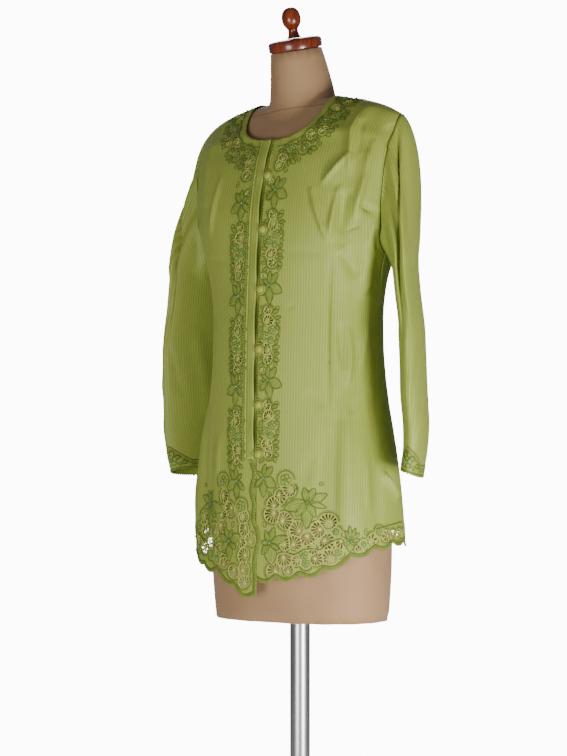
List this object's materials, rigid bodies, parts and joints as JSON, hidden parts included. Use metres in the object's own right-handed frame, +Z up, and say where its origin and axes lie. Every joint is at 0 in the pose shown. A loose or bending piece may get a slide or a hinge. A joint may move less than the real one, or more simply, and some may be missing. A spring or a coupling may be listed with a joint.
{
  "type": "kebaya blouse on dress form",
  "caption": "Fitted long-sleeved kebaya blouse with cutwork hem and lace columns beside its buttoned opening, worn on a limbless dress form on a round-based stand.",
  "frame": {"origin": "centre of the base plate's underside, on the floor", "axes": "+Z up, -Y out of the blouse's front, +X toward the wearer's left"},
  "size_m": [0.4914, 0.38, 1.5032],
  "materials": {
    "blouse_cloth": "striped light satin cloth with tone-on-tone embroidery",
    "covered_buttons": "cloth-covered, deeper green",
    "form_cover": "plain linen",
    "turned_wood": "glossy reddish-brown varnish",
    "pole_steel": "satin"
  },
  "bodies": {
    "root": {"left_front": "blouse_cloth", "right_front": "blouse_cloth", "back": "blouse_cloth", "left_sleeve": "blouse_cloth", "right_sleeve": "blouse_cloth", "placket_strip": "blouse_cloth", "button_1": "covered_buttons", "button_2": "covered_buttons", "button_3": "covered_buttons", "button_4": "covered_buttons", "button_5": "covered_buttons", "button_6": "covered_buttons", "loop_1": "covered_buttons", "loop_2": "covered_buttons", "loop_3": "covered_buttons", "loop_4": "covered_buttons", "loop_5": "covered_buttons", "loop_6": "covered_buttons", "dress_form": "form_cover", "neck_cap": "turned_wood", "knob": "turned_wood", "base_plate": "turned_wood", "pole": "pole_steel"}
  },
  "joints": []
}
